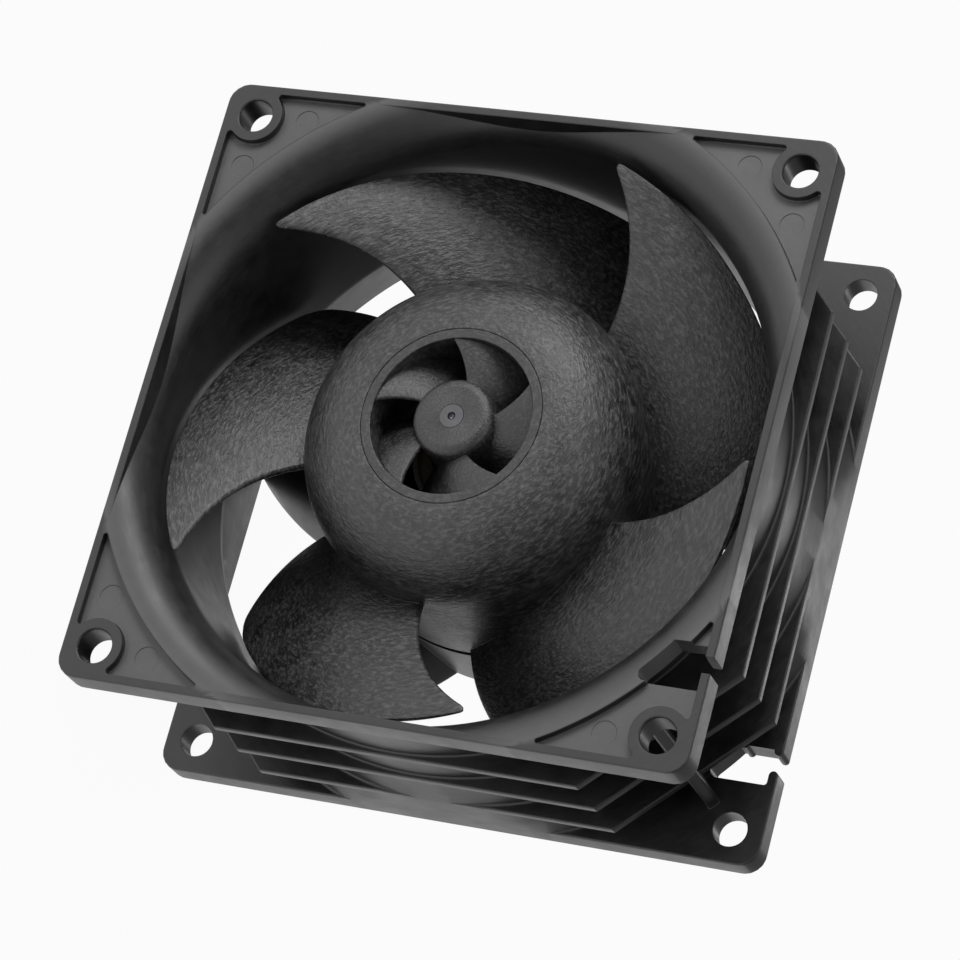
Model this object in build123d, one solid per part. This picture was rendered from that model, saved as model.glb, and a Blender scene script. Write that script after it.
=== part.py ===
from build123d import *
import os
from math import cos, pi, radians, sin, sqrt

os.makedirs("parts", exist_ok=True)

# A square 80 mm axial fan for a server, 38 mm deep, with a five-bladed rotor on two ball bearings.
# All sizes are millimetres. While it is drawn, the fan axis is Z, the intake face is at z = 0 and the
# exhaust face at z = -frame_depth. Below, a depth is measured back from the intake face, and a height
# is measured forward from the exhaust face.

# Housing: overall size, flanges and screw holes
frame_width = 80.0
frame_depth = 38.0
flange_corner_radius = 2.55
front_flange_thickness = 4.0
rear_flange_thickness = 3.6
hole_edge_distance = 4.25
hole_diameter = 4.3

# Housing: air duct, from the bell-mouth lip through the throat to the diffuser
lip_radius = 43.9
throat_radius = 38.1
bell_depth = 6.2
diffuser_length = 12.0
exit_radius = 42.3
barrel_wall = 1.2
side_wall = 1.05

# Housing: stiffening fins round the barrel
fin_count = 3
fin_thickness = 1.2
first_fin_depth = 12.0
fin_pitch = 8.1
fin_corner_cut = 16.5
fin_inset = 0.05

# Housing: recessed corner pads with a raised boss at each screw hole
pad_depth = 1.0
pad_rim_width = 1.05
boss_wall = 1.35

# Housing: slot in both flanges that the leads leave through, and the post that guides them
slot_start = 24.2
slot_end = 29.6
slot_mouth_start = 25.7
slot_mouth_end = 27.7
slot_finger_width = 1.15
slot_lip_wall = 1.5
slot_finger_round = 0.5
post_angle = -45.0
post_width = 1.6
post_reach = 46.9

# Housing: motor base and the stator vanes that carry it
base_radius = 21.2
base_wall = 1.4
base_floor = 1.6
vane_count = 7
vane_thickness = 1.4
vane_height = 10.0
vane_trailing_angle = -104.9
vane_trailing_sweep = -1.52
vane_leading_angle = -122.9
vane_leading_sweep = -0.82
vane_entry_slope = 0.2
vane_overrun = 0.3
socket_wall = 1.8
socket_height = 5.4
lead_window_angle = -33.5
lead_window_width = 5.0
lead_window_depth = 2.6

# Impeller: hub
hub_radius = 21.1
hub_wall = 1.5
dome_front = 1.75
dome_height = 8.75
skirt_gap = 0.5
hub_rear_height = 10.9
sleeve_wall = 1.2

# Impeller: blades, as angles in degrees about the axis and depths, at the hub and at the tip
blade_count = 5
tip_clearance = 0.55
blade_root_thickness = 1.9
blade_tip_thickness = 1.0
blade_root_sink = 0.8
lead_root_angle = -20.3
lead_sweep = 10.35
lead_hook = 10.6
lead_root_depth = 11.0
lead_tip_depth = 2.4
trail_root_angle = -88.0
trail_sweep = 13.45
trail_hook = 5.35
trail_root_height = 11.7
trail_tip_height = 14.0
blade_entry_slope = 0.48

# Nose piece in the hub: ring, boss and inner vanes
nose_radius = 11.35
nose_fit = 0.05
nose_ring_wall = 1.2
boss_radius = 5.2
boss_front = 2.0
boss_shoulder = 1.2
inner_vane_thickness = 0.9
inner_vane_lead_angle = 104.8
inner_vane_sweep = 18.0
inner_vane_wrap = 75.0
inner_vane_lead_depth = 2.1
inner_vane_root_drop = 1.3
inner_vane_trail_depth = 10.0
inner_vane_entry_slope = 0.2

# Shaft and bearings
shaft_radius = 1.5
shaft_rear_height = 2.0
shaft_centre_mark = 0.5
bearing_radius = 4.0
bearing_width = 4.0
inner_race_radius = 2.35
outer_race_radius = 3.3
ball_radius = 0.72
ball_play = 0.06
ball_count = 7
cage_play = 0.14
cage_width = 1.3
shield_thickness = 0.15
shield_inset = 0.1
shield_play = 0.1
front_bearing_depth = 14.3
rear_bearing_height = 7.0
tube_wall = 1.6
tube_front_margin = 0.4
washer_height = 0.6
washer_thickness = 0.2
clip_radius = 2.25
clip_thickness = 0.5
clip_groove = 0.3
clip_opening = 1.6
cap_radius = 4.5
cap_fit = 0.05
cap_thickness = 1.3

# Rotor yoke, magnet and bushing
yoke_wall = 1.2
yoke_depth = 11.2
yoke_skirt_height = 11.4
vent_inner_radius = 5.6
vent_outer_radius = 9.6
vent_angle = 48.0
magnet_thickness = 1.8
magnet_front_depth = 14.2
magnet_rear_height = 11.8
bushing_radius = 3.0
bushing_front_depth = 8.0
bushing_flange_radius = 4.2
bushing_flange_thickness = 0.8
bushing_foot_radius = 2.2
bushing_foot_length = 0.9

# Stator: laminations, insulators, windings
air_gap = 0.4
pole_count = 6
motor_front_gap = 1.2
motor_rear_gap = 1.8
core_ring_width = 2.4
pole_width = 2.6
shoe_thickness = 1.2
shoe_angle = 46.0
insulator_plate = 0.8
insulator_skirt = 0.5
insulator_wall = 0.6
insulator_wall_height = 1.8
insulator_wall_width = 8.0
insulator_split = 0.1
winding_thickness = 1.7
winding_play = 0.05
winding_corner = 0.9

# Circuit board and what is on it
board_height = 9.4
board_thickness = 1.2
board_edge_gap = 0.6
board_socket_gap = 0.2
board_post_radius = 1.2
board_post_circle = 17.4
board_post_count = 3
pin_radius = 0.35
pin_count = 3
pin_bed = 1.2
pin_tail = 0.6
pin_hole_play = 0.05
component_circle = 13.4
chip_length = 5.0
chip_width = 4.4
chip_height = 1.2
chip_angle = 200.0
hall_length = 3.0
hall_width = 1.5
hall_height = 1.3
hall_circle = 16.0
hall_angle = 150.0
capacitor_radius = 2.5
capacitor_height = 5.2
capacitor_angle = 120.0
resistor_length = 2.0
resistor_width = 1.25
resistor_height = 0.5
resistor_count = 5
resistor_first_angle = 250.0
resistor_step_angle = 22.0

# Sizes that follow from the ones above
half_width = frame_width / 2
hole_offset = half_width - hole_edge_distance
hole_radius = hole_diameter / 2
duct_half_width = half_width - side_wall
blade_tip_radius = throat_radius - tip_clearance
yoke_radius = hub_radius - hub_wall
magnet_outer_radius = yoke_radius - yoke_wall
magnet_inner_radius = magnet_outer_radius - magnet_thickness
pole_radius = magnet_inner_radius - air_gap
tube_radius = bearing_radius + tube_wall
core_ring_radius = tube_radius + core_ring_width
hub_depth = frame_depth - hub_rear_height
trail_root_depth = frame_depth - trail_root_height
trail_tip_depth = frame_depth - trail_tip_height
base_rim_depth = hub_depth + skirt_gap
base_floor_depth = frame_depth - base_floor
nose_inner_radius = nose_radius - nose_ring_wall
ball_circle = (inner_race_radius + outer_race_radius) / 2
rear_bearing_depth = frame_depth - rear_bearing_height
yoke_skirt_depth = frame_depth - yoke_skirt_height
magnet_rear_depth = frame_depth - magnet_rear_height
board_depth = frame_depth - board_height
board_rear_depth = board_depth + board_thickness
insulator_rise = insulator_plate + insulator_wall_height
insulator_end_depth = board_depth - motor_rear_gap
stack_front_depth = yoke_depth + yoke_wall + motor_front_gap + insulator_rise
stack_rear_depth = insulator_end_depth - insulator_rise
stack_middle_depth = (stack_front_depth + stack_rear_depth) / 2
stack_height = stack_rear_depth - stack_front_depth
bushing_flange_front = yoke_depth - bushing_flange_thickness


# Small drawing helpers

def turned(*outline):
    """Solid of revolution about the fan axis, from lines and arcs drawn as (radius, height)."""
    return revolve(Plane.XZ * make_face(Wire(outline)), Axis.Z)


def ring(outer, inner, front, rear):
    """Plain ring or disc between two depths."""
    height = rear - front
    shape = Pos(0, 0, -rear) * extrude(Circle(outer), height)
    if inner > 0:
        shape -= Pos(0, 0, -rear) * extrude(Circle(inner), height)
    return shape


def slab(outline, front, rear):
    """A flat outline given its thickness between two depths."""
    return Pos(0, 0, -rear) * extrude(outline, rear - front)


def around(shape, count):
    """Evenly spaced copies of a shape about the fan axis."""
    return [Rot(0, 0, 360 / count * index) * shape for index in range(count)]


def sector(inner, outer, angle):
    """Outline of a ring sector that lies evenly about the X axis."""
    half = radians(angle / 2)
    places = ((inner, -half), (outer, -half), (outer, half), (inner, half))
    corners = [(radius * cos(turn), radius * sin(turn)) for radius, turn in places]
    return make_face(Wire([
        Line(corners[0], corners[1]),
        ThreePointArc(corners[1], (outer, 0), corners[2]),
        Line(corners[2], corners[3]),
        ThreePointArc(corners[3], (inner, 0), corners[0]),
    ]))


# Air duct: one outline for the air, one a wall thickness further out for the barrel

def duct_form(offset):
    """The space inside the duct, grown outwards by offset: bell-mouth, throat and diffuser."""
    throat = throat_radius + offset
    exit_edge = exit_radius + offset
    bell_width = lip_radius - throat
    bell_height = bell_depth - offset
    bell = EllipticalCenterArc((lip_radius, -bell_depth), bell_width, bell_height, 90, arc_size=90)
    diffuser_start = -(frame_depth - diffuser_length)
    outline = [
        Line((0, -frame_depth), (0, -offset)),
        Line((0, -offset), (lip_radius, -offset)),
        bell,
        Line((throat, -bell_depth), (throat, diffuser_start)),
        Line((throat, diffuser_start), (exit_edge, -frame_depth)),
        Line((exit_edge, -frame_depth), (0, -frame_depth)),
    ]
    return turned(*outline)


def clipped(shape, half):
    """What lies inside a square of the given half width."""
    return shape & slab(Rectangle(2 * half, 2 * half), 0, frame_depth)


# Housing

def fin(front):
    half = half_width - fin_inset
    return slab(chamfer(Rectangle(2 * half, 2 * half).vertices(), fin_corner_cut), front, front + fin_thickness)


def cable_post():
    """Radial rib behind one corner that keeps the leads beside the slots."""
    rib = slab(Rectangle(post_reach, post_width, align=(Align.MIN, Align.CENTER)), 0, frame_depth)
    return Rot(0, 0, post_angle) * rib


def corner_pad(angle):
    """Recess between the flange rim, the bell-mouth lip and the boss at the screw hole."""
    rim_half = half_width - pad_rim_width
    outline = Pos(rim_half / 2, rim_half / 2) * Rectangle(rim_half, rim_half)
    outline -= Circle(lip_radius)
    outline -= Pos(hole_offset, hole_offset) * Circle(hole_radius + boss_wall)
    outer_corner = hole_offset + (hole_radius + boss_wall) / 2
    outline -= Pos(outer_corner, outer_corner) * Rectangle(hole_diameter, hole_diameter)
    return Rot(0, 0, angle) * slab(outline, 0, pad_depth)


def lead_slot(front, rear):
    """Slot through a flange: a pocket beside the duct and a narrow mouth in the flange's side."""
    outer = half_width - slot_finger_width
    pocket = Pos(outer / 2, -(slot_start + slot_end) / 2) * Rectangle(outer, slot_end - slot_start)
    pocket -= Circle(lip_radius - slot_lip_wall)
    mouth_length = half_width - outer + slot_finger_width
    mouth_middle = half_width - mouth_length / 2
    mouth = Pos(mouth_middle, -(slot_mouth_start + slot_mouth_end) / 2)
    mouth *= Rectangle(mouth_length, slot_mouth_end - slot_mouth_start)
    outline = pocket + mouth
    finger_end = [v for v in outline.vertices() if abs(v.X - outer) < slot_finger_round]
    finger_end = [v for v in finger_end if abs(v.Y + slot_mouth_end) < slot_finger_round]
    return slab(fillet(finger_end, slot_finger_round), front, rear)


def motor_base():
    """Cup that holds the board and the bearing tube, open towards the rotor."""
    cup = ring(base_radius, 0, base_rim_depth, frame_depth)
    cup -= ring(base_radius - base_wall, 0, base_rim_depth, base_floor_depth)
    cup += ring(tube_radius + socket_wall, tube_radius, base_floor_depth - socket_height, base_floor_depth)
    post = Pos(board_post_circle, 0, 0) * ring(board_post_radius, 0, board_rear_depth, base_floor_depth)
    for copy in around(post, board_post_count):
        cup += copy
    cup -= ring(cap_radius + cap_fit, 0, base_floor_depth, frame_depth)
    return cup


def lead_window():
    """Gap in the base rim where the leads leave the board, beside the vane that runs to the slot."""
    outline = Pos(base_radius, 0) * Rectangle(2 * base_wall, lead_window_width)
    return Rot(0, 0, lead_window_angle) * slab(outline, hub_depth, base_rim_depth + lead_window_depth)


def frame_housing():
    barrel = clipped(duct_form(barrel_wall), half_width)
    flange_outline = RectangleRounded(frame_width, frame_width, flange_corner_radius)
    body = barrel + slab(flange_outline, 0, front_flange_thickness)
    body += slab(flange_outline, frame_depth - rear_flange_thickness, frame_depth)
    for index in range(fin_count):
        body += fin(first_fin_depth + index * fin_pitch)
    body += cable_post()
    body -= clipped(duct_form(0), duct_half_width)
    vanes = Part() + around(stator_vane(), vane_count)
    vanes &= clipped(duct_form(barrel_wall / 2), half_width - side_wall / 2)
    vanes -= ring(base_radius - base_wall / 2, 0, 0, frame_depth)
    body += vanes
    body += motor_base()
    body -= lead_window()
    for x in (-hole_offset, hole_offset):
        for y in (-hole_offset, hole_offset):
            body -= Pos(x, y, 0) * ring(hole_radius, 0, 0, frame_depth)
    for angle in (0, 90, 180, 270):
        body -= corner_pad(angle)
    body -= lead_slot(0, front_flange_thickness)
    body -= lead_slot(frame_depth - rear_flange_thickness, frame_depth)
    return body


# Blades: one form for the stator vanes, the main blades and the small vanes of the nose piece

def swept_blade(root_radius, tip_radius, thickness, lead, trail, entry_slope):
    """Cambered blade between two radii.

    lead and trail give the angle and depth of each edge as functions of the span, 0 at the root and
    1 at the tip. thickness gives the blade's thickness in the same way. entry_slope is the share of
    the steady slope that the blade has at its leading edge.
    """
    chord_stations = 9
    span_stations = 7
    edge_share = 0.45
    nudge = 0.01

    def middle(chord, span):
        lead_angle, lead_depth = lead(span)
        trail_angle, trail_depth = trail(span)
        angle = radians(lead_angle + (trail_angle - lead_angle) * chord)
        drop = entry_slope * chord + (1 - entry_slope) * chord ** 2
        radius = root_radius + (tip_radius - root_radius) * span
        return Vector(radius * cos(angle), radius * sin(angle), -lead_depth - (trail_depth - lead_depth) * drop)

    def skin(side):
        rows = []
        for i in range(chord_stations):
            chord = i / (chord_stations - 1)
            row = []
            for j in range(span_stations):
                span = j / (span_stations - 1)
                here = middle(chord, span)
                along = middle(chord + nudge, span) - middle(chord - nudge, span)
                across = middle(chord, span + nudge) - middle(chord, span - nudge)
                normal = along.cross(across).normalized()
                fullness = edge_share + (1 - edge_share) * sqrt(sin(pi * chord))
                row.append(here + normal * (side * thickness(span) * fullness / 2))
            rows.append(row)
        return Face.make_surface_from_array_of_points(rows)

    upper = skin(1)
    lower = skin(-1)
    sides = [Face.make_surface_from_curves(a, b) for a, b in zip(upper.edges(), lower.edges())]
    return Solid(Shell([upper, lower, *sides]))


def stator_vane():
    """One stator vane, from inside the base wall to beyond the duct wall and a little past the exhaust face."""
    root = base_radius - base_wall / 2
    reach = exit_radius + barrel_wall

    def outward(span):
        return root + (reach - root) * span - base_radius

    def lead(span):
        return vane_leading_angle + vane_leading_sweep * outward(span), frame_depth - vane_height

    def trail(span):
        return vane_trailing_angle + vane_trailing_sweep * outward(span), frame_depth + vane_overrun

    def thickness(span):
        return vane_thickness

    return swept_blade(root, reach, thickness, lead, trail, vane_entry_slope)


def main_blade():
    """One impeller blade, from just inside the hub wall to the tip circle."""
    root = hub_radius - blade_root_sink
    reach = blade_tip_radius + blade_root_sink
    span_length = blade_tip_radius - hub_radius

    def outward(span):
        return (root + (reach - root) * span - hub_radius) / span_length

    def lead(span):
        u = outward(span)
        angle = lead_root_angle + lead_sweep * u + lead_hook * u ** 2
        return angle, lead_root_depth + (lead_tip_depth - lead_root_depth) * u

    def trail(span):
        u = outward(span)
        angle = trail_root_angle + trail_sweep * u + trail_hook * u ** 2
        return angle, trail_root_depth + (trail_tip_depth - trail_root_depth) * u

    def thickness(span):
        return blade_root_thickness + (blade_tip_thickness - blade_root_thickness) * outward(span)

    blade = swept_blade(root, reach, thickness, lead, trail, blade_entry_slope)
    return blade & ring(blade_tip_radius, 0, 0, frame_depth)


def hub_form(offset):
    """Domed cup seen from outside, shrunk inwards by offset."""
    radius = hub_radius - offset
    shoulder = -(dome_front + dome_height)
    seat = nose_radius + nose_fit
    dome = EllipticalCenterArc((seat, shoulder), radius - seat, dome_height - offset, 0, arc_size=90)
    return turned(
        Line((0, -hub_depth), (radius, -hub_depth)),
        Line((radius, -hub_depth), (radius, shoulder)),
        dome,
        Line((seat, -(dome_front + offset)), (0, -(dome_front + offset))),
        Line((0, -(dome_front + offset)), (0, -hub_depth)),
    )


def impeller():
    seat = nose_radius + nose_fit
    hub = hub_form(0) - hub_form(hub_wall)
    hub += ring(seat + sleeve_wall, 0, dome_front + hub_wall / 2, yoke_depth)
    hub -= ring(seat, 0, 0, yoke_depth)
    for blade in around(main_blade(), blade_count):
        hub += blade
    hub -= ring(yoke_radius, 0, yoke_depth, hub_depth)
    return hub


# Nose piece

def inner_vane():
    def lead(span):
        angle = inner_vane_lead_angle - inner_vane_sweep * (1 - span)
        return angle, inner_vane_lead_depth + inner_vane_root_drop * (1 - span)

    def trail(span):
        return lead(span)[0] - inner_vane_wrap, inner_vane_trail_depth

    def thickness(_span):
        return inner_vane_thickness

    root = boss_radius - inner_vane_thickness / 2
    tip = nose_inner_radius + inner_vane_thickness / 2
    return swept_blade(root, tip, thickness, lead, trail, inner_vane_entry_slope)


def hub_insert():
    shell = ring(nose_radius, nose_inner_radius, dome_front, yoke_depth)
    boss = ring(boss_radius, 0, boss_front, bushing_flange_front)
    boss = fillet(boss.edges().sort_by(Axis.Z)[-1], boss_shoulder)
    shell += boss
    for vane in around(inner_vane(), blade_count):
        shell += vane
    shell -= ring(bushing_radius, 0, bushing_front_depth, bushing_flange_front)
    shell -= ring(shaft_radius, 0, 0, bushing_front_depth)
    return shell


# Shaft, bushing, bearings and what holds them

def clip_front_depth():
    return rear_bearing_depth + bearing_width


def shaft():
    rod = ring(shaft_radius, 0, boss_front, frame_depth - shaft_rear_height)
    rod -= ring(shaft_radius, shaft_radius - clip_groove, clip_front_depth(), clip_front_depth() + clip_thickness)
    rod -= Pos(0, 0, -boss_front) * Sphere(shaft_centre_mark)
    return rod


def yoke_bushing():
    body = ring(bushing_radius, 0, bushing_front_depth, front_bearing_depth - bushing_foot_length)
    body += ring(bushing_flange_radius, 0, bushing_flange_front, yoke_depth)
    body += ring(bushing_foot_radius, 0, front_bearing_depth - bushing_foot_length, front_bearing_depth)
    return body - ring(shaft_radius, 0, bushing_front_depth, front_bearing_depth)


def race_groove(front):
    """Torus that the balls run in, a little larger than the balls."""
    return Pos(0, 0, -(front + bearing_width / 2)) * Torus(ball_circle, ball_radius + ball_play)


def inner_ring(front):
    return ring(inner_race_radius, shaft_radius, front, front + bearing_width) - race_groove(front)


def outer_ring(front):
    return ring(bearing_radius, outer_race_radius, front, front + bearing_width) - race_groove(front)


def ball_places(front):
    ball = Pos(ball_circle, 0, -(front + bearing_width / 2)) * Sphere(ball_radius)
    return around(ball, ball_count)


def balls(front):
    return Compound(ball_places(front))


def cage(front):
    middle = front + bearing_width / 2
    outer = outer_race_radius - cage_play
    inner = inner_race_radius + cage_play
    band = ring(outer, inner, middle - cage_width / 2, middle + cage_width / 2)
    for ball in ball_places(front):
        band -= ball
    return band


def shields(front):
    """Thin washers that close both ends of a bearing, fixed in its outer ring."""
    inner = inner_race_radius + shield_play
    first = front + shield_inset
    last = front + bearing_width - shield_inset
    return Compound([
        ring(outer_race_radius, inner, first, first + shield_thickness),
        ring(outer_race_radius, inner, last - shield_thickness, last),
    ])


def bearing_tube():
    front = front_bearing_depth - tube_front_margin
    shoulder = front_bearing_depth + bearing_width + washer_height
    tube = ring(tube_radius, outer_race_radius, front, base_floor_depth)
    tube -= ring(bearing_radius, 0, front, shoulder)
    return tube - ring(bearing_radius, 0, rear_bearing_depth, base_floor_depth)


def preload_washer():
    """Conical spring washer between the tube's shoulder and the front bearing's outer ring."""
    top = -(front_bearing_depth + bearing_width)
    foot = top - washer_height
    inner = outer_race_radius + washer_thickness / 2
    return turned(
        Line((inner, top), (bearing_radius, foot + washer_thickness)),
        Line((bearing_radius, foot + washer_thickness), (bearing_radius, foot)),
        Line((bearing_radius, foot), (inner, top - washer_thickness)),
        Line((inner, top - washer_thickness), (inner, top)),
    )


def retaining_clip():
    front = clip_front_depth()
    clip = ring(clip_radius, shaft_radius - clip_groove, front, front + clip_thickness)
    opening = Pos(clip_radius, 0) * Rectangle(2 * clip_radius, clip_opening)
    return clip - slab(opening, front, front + clip_thickness)


def bearing_cap():
    return ring(cap_radius, 0, frame_depth - cap_thickness, frame_depth)


# Rotor yoke and magnet

def rotor_yoke():
    cup = ring(yoke_radius, 0, yoke_depth, yoke_skirt_depth)
    cup -= ring(magnet_outer_radius, 0, yoke_depth + yoke_wall, yoke_skirt_depth)
    cup -= ring(bushing_radius, 0, yoke_depth, yoke_depth + yoke_wall)
    vent = slab(sector(vent_inner_radius, vent_outer_radius, vent_angle), yoke_depth, yoke_depth + yoke_wall)
    for copy in around(vent, blade_count):
        cup -= copy
    return cup


def magnet_ring():
    return ring(magnet_outer_radius, magnet_inner_radius, magnet_front_depth, magnet_rear_depth)


# Stator

def pole_bar(width, length):
    return Rectangle(length, width, align=(Align.MIN, Align.CENTER))


def stator_core():
    outline = Circle(core_ring_radius)
    for bar in around(pole_bar(pole_width, pole_radius - shoe_thickness / 2), pole_count):
        outline += bar
    for shoe in around(sector(pole_radius - shoe_thickness, pole_radius, shoe_angle), pole_count):
        outline += shoe
    outline -= Circle(tube_radius)
    return slab(outline, stack_front_depth, stack_rear_depth)


def winding_inner_radius():
    return core_ring_radius + insulator_wall + winding_play


def winding_outer_radius():
    return pole_radius - shoe_thickness - insulator_wall - winding_play


def insulator():
    """Front insulator: a plate over the stack, skirts beside the poles and walls that hold the coils."""
    plate_front = stack_front_depth - insulator_plate
    wall_front = plate_front - insulator_wall_height
    reach = pole_radius - shoe_thickness
    outline = Circle(core_ring_radius + insulator_wall)
    for bar in around(pole_bar(pole_width + 2 * insulator_skirt, reach), pole_count):
        outline += bar
    outline -= Circle(tube_radius)
    body = slab(outline, plate_front, stack_middle_depth - insulator_split)
    body -= stator_core()
    body += ring(core_ring_radius + insulator_wall, core_ring_radius, wall_front, plate_front)
    wall_outline = Pos(reach - insulator_wall / 2, 0) * Rectangle(insulator_wall, insulator_wall_width)
    for wall in around(slab(wall_outline, wall_front, stack_front_depth), pole_count):
        body += wall
    return body


def pin_places():
    angle = 180 / pole_count
    radius = core_ring_radius + insulator_wall / 2
    return [Rot(0, 0, angle + 360 / pin_count * index) * Pos(radius, 0, 0) for index in range(pin_count)]


def upper_insulator():
    return insulator()


def lower_insulator():
    """The same moulding turned over, with small beds for the terminal pins."""
    middle = Plane.XY.offset(-stack_middle_depth)
    body = mirror(insulator(), about=middle)
    for place in pin_places():
        bed = place * ring(pin_radius + insulator_wall / 2, 0, insulator_end_depth - pin_bed, insulator_end_depth)
        body += bed
        body -= place * ring(pin_radius, 0, insulator_end_depth - pin_bed, insulator_end_depth)
    return body


def coil(index):
    """Winding round one pole, a rounded box with the insulated pole through it."""
    inner = winding_inner_radius()
    length = winding_outer_radius() - inner
    hole_width = pole_width + 2 * insulator_skirt + 2 * winding_play
    hole_height = stack_height + 2 * insulator_plate + 2 * winding_play
    side = Plane(origin=(inner, 0, -stack_middle_depth), x_dir=(0, 1, 0), z_dir=(1, 0, 0))
    outer_width = hole_width + 2 * winding_thickness
    outer_height = hole_height + 2 * winding_thickness
    outline = RectangleRounded(outer_width, outer_height, winding_corner) - Rectangle(hole_width, hole_height)
    return Rot(0, 0, 360 / pole_count * index) * extrude(side * outline, length)


def terminal_pins():
    pins = []
    for place in pin_places():
        pins.append(place * ring(pin_radius, 0, insulator_end_depth - pin_bed, board_rear_depth + pin_tail))
    return Compound(pins)


# Circuit board

def circuit_board():
    inner = tube_radius + socket_wall + board_socket_gap
    outer = base_radius - base_wall - board_edge_gap
    board = ring(outer, inner, board_depth, board_rear_depth)
    for place in pin_places():
        board -= place * ring(pin_radius + pin_hole_play, 0, board_depth, board_rear_depth)
    return board


def on_board(shape, circle, angle):
    return Rot(0, 0, angle) * Pos(circle, 0, 0) * shape


def driver_chip():
    body = slab(Rectangle(chip_width, chip_length), board_rear_depth, board_rear_depth + chip_height)
    return on_board(body, component_circle, chip_angle)


def hall_sensor():
    body = slab(Rectangle(hall_width, hall_length), board_depth - hall_height, board_depth)
    return on_board(body, hall_circle, hall_angle)


def smoothing_capacitor():
    can = ring(capacitor_radius, 0, board_rear_depth, board_rear_depth + capacitor_height)
    return on_board(can, component_circle, capacitor_angle)


def chip_resistors():
    body = slab(Rectangle(resistor_length, resistor_width), board_rear_depth, board_rear_depth + resistor_height)
    angles = [resistor_first_angle + resistor_step_angle * index for index in range(resistor_count)]
    return Compound([on_board(body, component_circle, angle) for angle in angles])


# The fan stands on one long side, with its intake facing -Y and the ground under it at Z = 0

standing = Plane(origin=(0, -frame_depth / 2, half_width), x_dir=(0, 0, 1), z_dir=(0, -1, 0))

pieces = {
    "frame_housing": frame_housing(),
    "impeller": impeller(),
    "hub_insert": hub_insert(),
    "shaft": shaft(),
    "yoke_bushing": yoke_bushing(),
    "rotor_yoke": rotor_yoke(),
    "magnet_ring": magnet_ring(),
    "bearing_tube": bearing_tube(),
    "bearing_cap": bearing_cap(),
    "retaining_clip": retaining_clip(),
    "preload_washer": preload_washer(),
    "stator_core": stator_core(),
    "upper_insulator": upper_insulator(),
    "lower_insulator": lower_insulator(),
    "terminal_pins": terminal_pins(),
    "circuit_board": circuit_board(),
    "driver_chip": driver_chip(),
    "hall_sensor": hall_sensor(),
    "smoothing_capacitor": smoothing_capacitor(),
    "chip_resistors": chip_resistors(),
}

for end, depth in (("front", front_bearing_depth), ("rear", rear_bearing_depth)):
    pieces[f"{end}_bearing_inner_ring"] = inner_ring(depth)
    pieces[f"{end}_bearing_outer_ring"] = outer_ring(depth)
    pieces[f"{end}_bearing_balls"] = balls(depth)
    pieces[f"{end}_bearing_cage"] = cage(depth)
    pieces[f"{end}_bearing_shields"] = shields(depth)

for index in range(pole_count):
    pieces[f"coil_{index + 1}"] = coil(index)

for name, shape in pieces.items():
    export_step(standing.location * shape, f"parts/{name}.step")
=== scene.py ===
from math import acos, asin, cos, degrees, pi, radians, sin, sqrt

import bmesh
import bpy
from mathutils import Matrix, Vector


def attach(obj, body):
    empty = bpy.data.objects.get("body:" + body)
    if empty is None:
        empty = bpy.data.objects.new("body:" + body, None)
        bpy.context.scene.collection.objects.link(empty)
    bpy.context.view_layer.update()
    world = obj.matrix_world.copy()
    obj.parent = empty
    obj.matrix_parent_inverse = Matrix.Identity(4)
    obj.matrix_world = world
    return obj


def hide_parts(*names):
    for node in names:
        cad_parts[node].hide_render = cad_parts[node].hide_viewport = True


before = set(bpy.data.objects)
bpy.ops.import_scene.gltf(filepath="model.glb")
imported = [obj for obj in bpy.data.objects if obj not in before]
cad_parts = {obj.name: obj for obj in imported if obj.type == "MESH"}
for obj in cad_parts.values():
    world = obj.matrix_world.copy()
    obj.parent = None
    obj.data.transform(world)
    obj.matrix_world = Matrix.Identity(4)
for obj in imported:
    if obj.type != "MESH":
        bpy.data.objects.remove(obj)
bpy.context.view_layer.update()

# Camera: it stands where the photographer's did, almost half a metre before the intake
# with a long lens, above and to the right of the axis. It is rolled, because the fan
# stands here on the side that is on the left in the picture.
camera_place = (155.45, -421.83, 213.97)
camera_angles = (-19.112, -67.370, 130.641)
camera_lens = 146.9
camera_sensor = 36

camera_data = bpy.data.cameras.new("camera")
camera_data.lens = camera_lens
camera_data.sensor_width = camera_sensor
camera = bpy.data.objects.new("camera", camera_data)
camera.location = Vector(camera_place) / 1000
camera.rotation_euler = [radians(angle) for angle in camera_angles]
bpy.context.collection.objects.link(camera)
bpy.context.scene.camera = camera


# Studio: a white table that runs out of view, in a white room that gives little light.
# One soft lamp stands low before the intake, on the side that is the picture's top, a
# weaker one hangs above the fan, and a narrow one behind it draws a sheen on its side.
def linear(code):
    """A colour written as an sRGB hex value, turned to the linear values that Blender takes."""
    values = [int(code[index:index + 2], 16) / 255 for index in (0, 2, 4)]
    colour = [value / 12.92 if value <= 0.04045 else ((value + 0.055) / 1.055) ** 2.4 for value in values]
    return colour + [1.0]


def emptied(owner):
    """The node tree of a material or a world, with no nodes in it."""
    owner.use_nodes = True
    owner.node_tree.nodes.clear()
    return owner.node_tree


def add(tree, kind, inputs=None, **settings):
    """Adds a node. Settings are its own properties; an input that is given a socket is linked to it."""
    made = tree.nodes.new(kind)
    for name, value in settings.items():
        setattr(made, name, value)
    for name, value in (inputs or {}).items():
        socket = made.inputs[name]
        if isinstance(value, bpy.types.NodeSocket):
            tree.links.new(value, socket)
        else:
            socket.default_value = value
    return made


table_half_width = 6.0
table_colour = "f4f4f4"
table_shadow_share = 0.05
# The table gives the fan less light than it shows, which keeps the fan's sides dark.
table_bounce_colour = "8c8c8c"
white_strength = 1.0

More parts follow.
